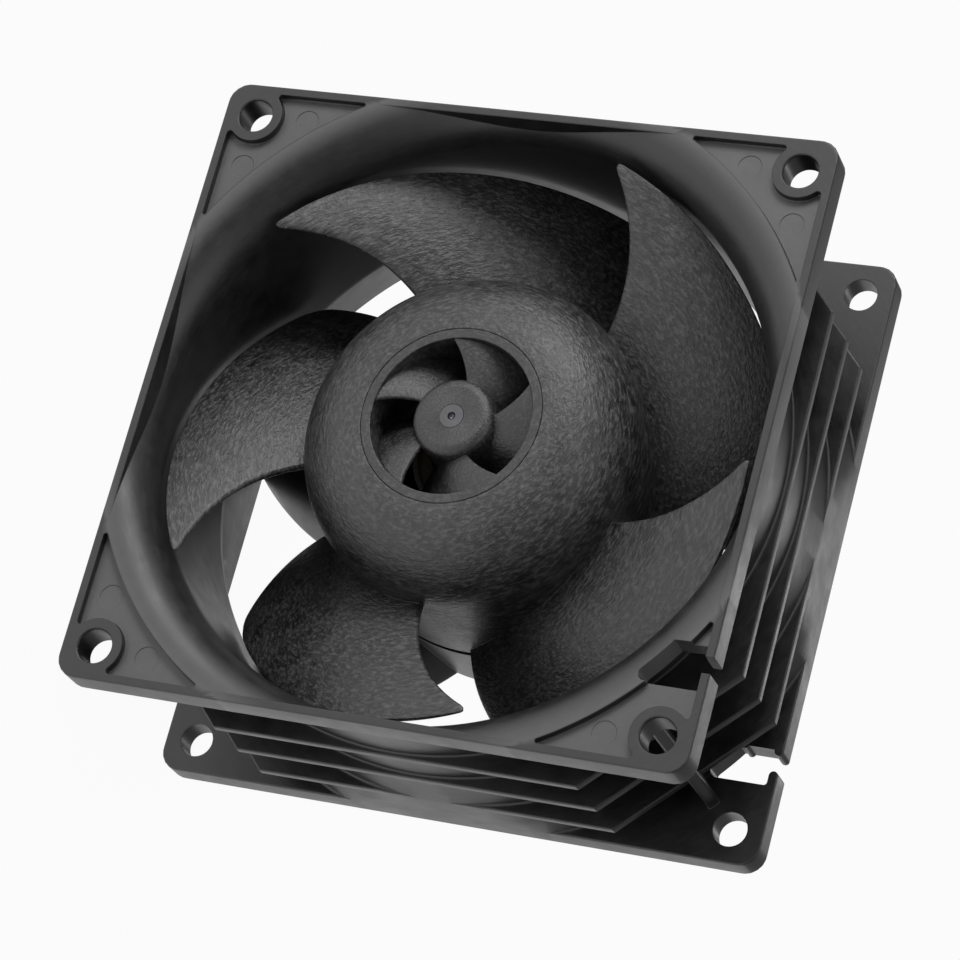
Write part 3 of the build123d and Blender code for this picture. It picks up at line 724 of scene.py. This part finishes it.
def moulded_polyester(name, colour, speckle, mottle, roughness):
    """Black glass-filled polyester as it leaves the mould: satin, with short fibres just under the skin.

    The fibres show as fine grey specks, about 0.2 mm wide and up to 1 mm long, that run round the axis,
    and as a soft cloudiness of a few millimetres. The skin is very slightly rough, and its edges are soft.
    """
    paint = bpy.data.materials.new(name)
    tree = emptied(paint)

    # The fibres lie in coordinates that run out from the fan's axis, round it and along it.
    spot = add(tree, "ShaderNodeTexCoord").outputs["Object"]
    apart = add(tree, "ShaderNodeSeparateXYZ", {0: spot}).outputs
    rise = add(tree, "ShaderNodeMath", {0: apart["Z"], 1: half_width / 1000}, operation="SUBTRACT").outputs[0]
    across = add(tree, "ShaderNodeCombineXYZ", {"X": apart["X"], "Y": rise})
    radius = add(tree, "ShaderNodeVectorMath", {0: across.outputs[0]}, operation="LENGTH").outputs["Value"]
    turn = add(tree, "ShaderNodeMath", {0: rise, 1: apart["X"]}, operation="ARCTAN2").outputs[0]
    around = add(tree, "ShaderNodeMath", {0: turn, 1: fibre_spread / 1000}, operation="MULTIPLY").outputs[0]
    flow_spot = add(tree, "ShaderNodeCombineXYZ", {"X": radius, "Y": around, "Z": apart["Y"]})
    fibres = add(tree, "ShaderNodeTexNoise", {
        "Vector": flow_spot.outputs[0], "Scale": 1000 / speck_size, "Detail": 3.0,
        "Roughness": 0.7}).outputs["Fac"]
    clouds = add(tree, "ShaderNodeTexNoise", {
        "Vector": spot, "Scale": 1000 / cloud_size, "Detail": 4.0, "Roughness": 0.55}).outputs["Fac"]
    swirls = add(tree, "ShaderNodeTexNoise", {
        "Vector": spot, "Scale": 1000 / swirl_size, "Detail": 2.0}).outputs["Fac"]

    # Only the upper part of the fibres' noise shows, and the middle part of the clouds'. The attribute read
    # here
    # paints the pad floors and the lip paler: partly their coarser skin, partly a painted sheen. It is zero
    # where a mesh has none.
    specks = add(tree, "ShaderNodeMapRange", {
        "Value": fibres, "From Min": 0.46, "From Max": 0.72, "To Min": 0.0, "To Max": speckle}).outputs[0]
    patches = add(tree, "ShaderNodeMapRange", {
        "Value": clouds, "From Min": 0.35, "From Max": 0.65, "To Min": 0.0, "To Max": mottle}).outputs[0]
    frost_and_sheen_mask = add(tree, "ShaderNodeAttribute", attribute_name="frost_and_sheen").outputs["Fac"]
    smooth_skin = add(tree, "ShaderNodeMath", {0: specks, 1: patches}, operation="ADD").outputs[0]
    coarse_skin_and_sheen = add(tree, "ShaderNodeMath", {0: patches, 1: frost_and_sheen_share}, operation="ADD").outputs[0]
    shown = add(tree, "ShaderNodeMath", {0: frost_and_sheen_mask, 1: coarse_skin_and_sheen, 2: smooth_skin}, operation="MULTIPLY_ADD")
    tone = add(tree, "ShaderNodeMix", {0: shown.outputs[0], 6: linear(colour), 7: linear(fibre_and_sheen_colour)},
               data_type="RGBA")

    dull = add(tree, "ShaderNodeMath", {0: clouds, 1: fibres}, operation="ADD").outputs[0]
    dull = add(tree, "ShaderNodeMath", {0: dull, 1: swirls}, operation="ADD").outputs[0]
    rough = add(tree, "ShaderNodeMapRange", {
        "Value": dull, "From Min": 1.0, "From Max": 2.0,
        "To Min": roughness - 0.07, "To Max": roughness + 0.09}).outputs[0]
    soft_edges = add(tree, "ShaderNodeBevel", {"Radius": edge_softness / 1000}, samples=4)
    waves = add(tree, "ShaderNodeBump", {
        "Strength": 0.25, "Distance": wave_depth / 1000, "Height": clouds, "Normal": soft_edges.outputs[0]})
    grain = add(tree, "ShaderNodeBump", {
        "Strength": speckle, "Distance": grain_depth / 1000, "Height": fibres, "Normal": waves.outputs[0]})
    surface = add(tree, "ShaderNodeBsdfPrincipled", {
        "Base Color": tone.outputs[2], "Roughness": rough, "IOR": 1.5, "Specular IOR Level": 1.0,
        "Normal": grain.outputs[0]})
    add(tree, "ShaderNodeOutputMaterial", {"Surface": surface.outputs[0]})
    return paint


housing_polyester = moulded_polyester(
    "black polyester of the housing", "181819", speckle=0.06, mottle=0.05, roughness=0.42)

vane_count = 7
vane_thickness = 1.4
vane_height = 10.0
vane_overrun = 0.3
vane_lead_angle = -122.9
vane_lead_sweep = -0.82
vane_trail_angle = -104.9
vane_trail_sweep = -1.52
vane_reach = exit_radius + barrel_wall
base_radius = 21.2
base_wall = 1.4
vane_span = vane_reach - base_radius

vanes = blade_ring(
    blade_blank("stator vanes", chord_steps=20, span_steps=24, nose=0.05, ends_fullness=0.75,
                tip_round=0.01), {
        "Inner radius": base_radius, "Outer radius": vane_reach, "Root sink": base_wall / 2,
        "Lead angle": vane_lead_angle, "Lead sweep": vane_lead_sweep * vane_span,
        "Lead depth": frame_depth - vane_height,
        "Trail angle": vane_trail_angle, "Trail sweep": vane_trail_sweep * vane_span,
        "Trail depth": frame_depth + vane_overrun,
        "Entry slope": 0.2, "Root thickness": vane_thickness, "Tip thickness": vane_thickness,
        "Blades": vane_count, "Material": housing_polyester})

# The vanes run into the barrel's wall and are cut off in its middle.
middle_wall = barrel_wall / 2
limit_half_width = half_width - 0.5
limit_depths = (25.5, diffuser_start, 30.0, 34.0, frame_depth - 0.01)
limit_levels = []
for depth in limit_depths:
    outline = []
    for angle in range(0, 360, 2):
        radius = min(duct_radius(depth, middle_wall), to_side(limit_half_width, angle))
        outline.append(polar(radius, angle))
    limit_levels.append((outline, depth))
cut_by(vanes, [prism("vane limit", limit_levels)], "INTERSECT")


def turned(name, outline, steps=240):
    """A solid of revolution about the fan axis from a closed outline of (radius, depth) points."""
    return shell(name, [[place(radius, 360 / steps * step, depth) for radius, depth in outline]
                        for step in range(steps)])


base_rim = 27.6
base_floor = 1.6
base_inner_radius = base_radius - base_wall
floor_depth = frame_depth - base_floor
cap_seat_radius = 4.55
motor_base = turned("motor base", softened([
    (base_radius, base_rim, 0.25), (base_radius, frame_depth, 0.3),
    (cap_seat_radius, frame_depth, 0.15), (cap_seat_radius, floor_depth, 0.0),
    (base_inner_radius, floor_depth, 0.4), (base_inner_radius, base_rim, 0.2)]))

lead_window_angle = -33.5
lead_window_width = 5.0
lead_window_depth = 2.6
window_half = degrees(lead_window_width / 2 / base_radius)
window_start = lead_window_angle - window_half
window_end = lead_window_angle + window_half
window_overshoot = 1
window_inner = base_radius - 3 * base_wall / 2
window_outer = base_radius + window_overshoot
window_sector = [polar(window_inner, window_start), polar(window_outer, window_start),
                 polar(window_outer, window_end), polar(window_inner, window_end)]
window_tool = prism("window tool", [
    (window_sector, base_rim - window_overshoot), (window_sector, base_rim + lead_window_depth)])
cut_by(motor_base, [window_tool], "DIFFERENCE")
cleaned(motor_base)

post_angle = -45.0
post_width = 1.6
post_reach = 46.9
post_round = 0.3
post_sink = 0.5


def post_outline(depth):
    """The cable post's section at one depth: it starts in the duct's wall and has rounded outer corners."""
    start = duct_radius(depth, middle_wall)
    side = post_width / 2
    points = [(start, -side)]
    points += arc(post_reach - post_round, post_round - side, post_round, -90, 0, corner_steps)
    points += arc(post_reach - post_round, side - post_round, post_round, 0, 90, corner_steps)
    points += [(start, side)]
    return turned_outline(points, post_angle)


post_depths = (front_flange - post_sink, 4.5, bell_depth, diffuser_start, rear_face + post_sink)
post = prism("cable post", [(post_outline(depth), depth) for depth in post_depths])


def joined(main, others):
    """Puts the meshes of several pieces into one."""
    work = bmesh.new()
    for piece in [main] + others:
        work.from_mesh(piece.data)
    work.to_mesh(main.data)
    work.free()
    for piece in others:
        bpy.data.objects.remove(piece)


flat_face = 0.99999
sharp_angle = 25


def finished(piece, material):
    """Gives a piece one material and smooth shading that stops at its edges and on faces across the axis."""
    piece.data.materials.clear()
    piece.data.materials.append(material)
    for face in piece.data.polygons:
        face.material_index = 0
        face.use_smooth = abs(face.normal.y) < flat_face
    work = bmesh.new()
    work.from_mesh(piece.data)
    for edge in work.edges:
        edge.smooth = edge.is_manifold and edge.calc_face_angle(0.0) < radians(sharp_angle)
    work.to_mesh(piece.data)
    work.free()


joined(housing, [vanes, motor_base, post])
finished(housing, housing_polyester)

# Over this distance the painted sheen on the lip fades out into the bell.
lip_sheen_fade = 2.6
lip_margin = 0.05
facing_front = -0.99


def marked_frost_and_sheen(piece):
    """Marks where the skin is painted paler: the pad floors, for their coarser skin and a painted sheen, and
    the lip, with a painted sheen fading inwards.
    """
    frost_and_sheen = piece.data.attributes.new("frost_and_sheen", "FLOAT", "CORNER")
    for face in piece.data.polygons:
        face_depth = face.center.y * 1000 + frame_depth / 2
        pad = face.normal.y < facing_front and abs(face_depth - pad_depth) < 2 * pin_mark_depth
        for corner in face.loop_indices:
            spot = piece.data.vertices[piece.data.loops[corner].vertex_index].co * 1000
            depth = spot.y + frame_depth / 2
            inwards = lip_radius - sqrt(spot.x ** 2 + (spot.z - half_width) ** 2)
            # The lip's painted sheen is brightest at its edge and fades inwards.
            on_lip = depth < bell_depth and -lip_margin < inwards < lip_sheen_fade
            lip = 1 - inwards / lip_sheen_fade if on_lip else 0.0
            frost_and_sheen.data[corner].value = 1.0 if pad else lip


marked_frost_and_sheen(housing)
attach(housing, "frame")
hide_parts("frame_housing")


# Impeller: five swept blades on a domed hub that is open in front for the nose piece.
# It is moulded in the same black glass-filled polyester, and the glass fibres show as a
# fine speckle where the melt slowed down, on the dome and along the blades.
blade_count = 5
hub_radius = 21.1
blade_tip_radius = 37.55
dome_front = 1.75
dome_height = 8.75
hub_rear = 27.1
hub_wall = 1.5
hub_inner_radius = hub_radius - hub_wall
hub_ceiling = 11.1
seat_radius = 11.4

dome_points = []
dome_steps = 28
for step in range(dome_steps + 1):
    turn = radians(90 * step / dome_steps)
    dome_points.append((seat_radius + (hub_radius - seat_radius) * sin(turn),
                        dome_front + dome_height * (1 - cos(turn)), 0.0))
hub_outline = [(seat_radius, dome_front, 0.1)] + dome_points[1:] + [
    (hub_radius, (dome_front + dome_height + hub_rear) / 2, 0.0), (hub_radius, hub_rear, 0.25),
    (hub_inner_radius, hub_rear, 0.15), (hub_inner_radius, hub_ceiling, 0.3),
    (seat_radius, hub_ceiling, 0.0)]
hub = turned("impeller_moulding", softened(hub_outline))

impeller_polyester = moulded_polyester(
    "black polyester of the impeller", "161617", speckle=0.75, mottle=0.18, roughness=0.42)

blades = blade_ring(
    blade_blank("impeller blades", chord_steps=60, span_steps=40, nose=0.010, ends_fullness=0.42,
                tip_round=0.008, corners=(0.03, 0.07, 0.06, 0.085)), {
        "Inner radius": hub_radius, "Outer radius": blade_tip_radius, "Root sink": 0.8,
        "Lead angle": -20.3, "Lead sweep": 10.35, "Lead hook": 10.6,
        "Lead depth": 11.0, "Lead rise": -8.6,
        "Trail angle": -88.0, "Trail sweep": 13.45, "Trail hook": 5.35,
        "Trail depth": 26.3, "Trail rise": -2.3,
        "Entry slope": 0.48, "Root thickness": 1.9, "Tip thickness": 1.0,
        "Blades": blade_count, "Material": impeller_polyester})
joined(hub, [blades])
finished(hub, impeller_polyester)
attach(hub, "rotor")
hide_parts("impeller")


# Nose piece: a ring that drops into the hub, carries a boss on five small vanes and lets
# air through to the motor. It is a second moulding of the same polyester, and the shaft's
# end shows in the middle of its boss.
nose_radius = 11.35
nose_inner_radius = 10.15
nose_rear = 11.15
boss_outer_radius = 5.2
boss_front = 2.0
boss_shoulder = 1.2
boss_shoulder_bulge = 0.3
boss_rear = 10.35
boss_face_radius = boss_outer_radius - boss_shoulder
shaft_hole_radius = 1.52
inner_vane_thickness = 0.9

nose_ring = turned("nose_piece", softened([
    (nose_radius, dome_front, 0.12), (nose_radius, nose_rear, 0.1),
    (nose_inner_radius, nose_rear, 0.1), (nose_inner_radius, dome_front, 0.12)]), steps=200)
boss = turned("nose boss", softened([
    (shaft_hole_radius, boss_front, 0.08), (boss_face_radius, boss_front, 0.3),
    (boss_outer_radius - boss_shoulder * boss_shoulder_bulge,
     boss_front + boss_shoulder * boss_shoulder_bulge, 0.5),
    (boss_outer_radius, boss_front + boss_shoulder, 0.3),
    (boss_outer_radius, boss_rear, 0.1), (shaft_hole_radius, boss_rear, 0.0)]), steps=120)

insert_polyester = moulded_polyester(
    "black polyester of the nose piece", "1c1c1d", speckle=0.45, mottle=0.14, roughness=0.42)

inner_vanes = blade_ring(
    blade_blank("inner vanes", chord_steps=40, span_steps=16, nose=0.02, ends_fullness=0.6,
                tip_round=0.02), {
        "Inner radius": boss_outer_radius, "Outer radius": nose_inner_radius, "Root sink": 0.45,
        "Lead angle": 88.3, "Lead sweep": 15.6, "Lead depth": 3.29, "Lead rise": -1.1,
        "Trail angle": 13.3, "Trail sweep": 15.6, "Trail depth": 10.0,
        "Entry slope": 0.2, "Root thickness": inner_vane_thickness, "Tip thickness": inner_vane_thickness,
        "Blades": blade_count, "Material": insert_polyester})
joined(nose_ring, [boss, inner_vanes])
finished(nose_ring, insert_polyester)
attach(nose_ring, "rotor")
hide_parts("hub_insert")


# Shaft, bearings, motor and circuit board: stock parts that are pressed, wound or soldered
# together behind the nose piece. The CAD pieces keep their shapes and take their finish
# here. They show through the openings of the nose and between the blades.
def worked(name, colour, metallic, roughness, patch_size, unevenness, mark_pitch, mark_depth):
    """A surface with uneven patches and with marks across the fan's axis, their sizes in millimetres."""
    paint = bpy.data.materials.new(name)
    tree = emptied(paint)
    spot = add(tree, "ShaderNodeTexCoord").outputs["Object"]
    patches = add(tree, "ShaderNodeTexNoise", {
        "Vector": spot, "Scale": 1000 / patch_size, "Detail": 4.0}).outputs["Fac"]
    # A wave texture of scale 1 repeats every pi / 10 units, and the unit is a metre.
    wave_scale = 1000 * pi / (10 * mark_pitch)
    marks = add(tree, "ShaderNodeTexWave", {
        "Vector": spot, "Scale": wave_scale, "Distortion": 0.6, "Detail": 2.0},
        bands_direction="Y").outputs["Fac"]
    light = add(tree, "ShaderNodeMapRange", {
        "Value": patches, "From Min": 0.3, "From Max": 0.7,
        "To Min": 1 - unevenness, "To Max": 1 + unevenness}).outputs[0]
    tone = add(tree, "ShaderNodeHueSaturation", {"Color": linear(colour), "Value": light})
    both = add(tree, "ShaderNodeMath", {0: patches, 1: marks}, operation="ADD").outputs[0]
    rough = add(tree, "ShaderNodeMapRange", {
        "Value": both, "From Min": 0.3, "From Max": 1.7,
        "To Min": roughness * 0.85, "To Max": roughness * 1.2}).outputs[0]
    relief = add(tree, "ShaderNodeBump", {"Strength": 1.0, "Distance": mark_depth / 1000, "Height": marks})
    surface = add(tree, "ShaderNodeBsdfPrincipled", {
        "Base Color": tone.outputs[0], "Metallic": metallic, "Roughness": rough, "Normal": relief.outputs[0]})
    add(tree, "ShaderNodeOutputMaterial", {"Surface": surface.outputs[0]})
    return paint


# Each finish has a colour, how metallic and how rough it is, the size and unevenness of its patches,
# and the pitch and depth of its marks.
finishes = {
    # The bearing cap is moulded with the housing's own material.
    "frame_plastic": housing_polyester,
    # Ground shaft steel is grey and satin, with fine marks round it.
    "shaft_steel": worked("ground shaft steel", "6f6f72", 1.0, 0.38, 1.2, 0.10, 0.12, 0.0008),
    # Bearing steel is ground and polished, so it mirrors its surroundings a little blurred.
    "bearing_steel": worked("polished bearing steel", "c8c9cc", 1.0, 0.20, 1.5, 0.05, 0.15, 0.0003),
    # Rolled spring steel is bright but streaky.
    "spring_steel": worked("rolled spring steel", "9d9da0", 1.0, 0.30, 0.9, 0.12, 0.20, 0.0010),
    # The yoke is deep-drawn and zinc plated: dull, cloudy and slightly blue.
    "yoke_steel": worked("zinc plated yoke steel", "8f9294", 1.0, 0.45, 2.5, 0.16, 0.60, 0.0015),
    # Turned brass shows the tool's fine rings.
    "turned_brass": worked("turned brass", "c9a460", 1.0, 0.28, 1.8, 0.08, 0.15, 0.0012),
    # Bonded ferrite is dark grey and dull, with coarse powder grains.
    "bonded_ferrite": worked("bonded ferrite", "2b2928", 0.0, 0.70, 0.35, 0.25, 0.80, 0.0020),
    # The laminations are half a millimetre apart and varnished.
    "electrical_steel": worked("varnished laminations", "6c6a66", 0.8, 0.42, 1.6, 0.12, 0.50, 0.0400),
    # Nylon insulators are off-white and waxy.
    "insulator_nylon": worked("natural nylon", "d8d2c2", 0.0, 0.45, 2.0, 0.06, 1.00, 0.0015),
    # Enamelled wire lies side by side, a quarter of a millimetre thick, glossy and copper red.
    "enamelled_copper": worked("enamelled copper wire", "a4512c", 0.6, 0.25, 1.2, 0.12, 0.25, 0.0600),
    # Tinned pins are soft and bright with a slightly cloudy skin.
    "tinned_pin": worked("tinned pin", "c2c3c2", 1.0, 0.30, 0.5, 0.08, 0.30, 0.0010),
    # Solder mask is green and glossy over the board's weave.
    "board_laminate": worked("green solder mask", "15573a", 0.0, 0.30, 0.8, 0.10, 0.40, 0.0030),
    # Chip bodies are moulded epoxy, black and slightly grainy.
    "chip_epoxy": worked("moulded chip epoxy", "202022", 0.0, 0.60, 0.15, 0.15, 0.20, 0.0020),
    # The capacitor's can is drawn aluminium.
    "capacitor_can": worked("drawn aluminium can", "bdbec2", 1.0, 0.30, 1.5, 0.06, 0.25, 0.0008),
    # Chip resistors have a glazed dark face.
    "resistor_ceramic": worked("glazed resistor ceramic", "2c2d30", 0.0, 0.35, 0.4, 0.12, 0.60, 0.0008),
    # Ball cages are moulded in ivory nylon.
    "cage_nylon": worked("moulded cage nylon", "cdb98c", 0.0, 0.50, 0.8, 0.08, 0.50, 0.0010),
}
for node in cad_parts.values():
    slot = node.material_slots[0]
    if slot.material.name in finishes:
        slot.material = finishes[slot.material.name]
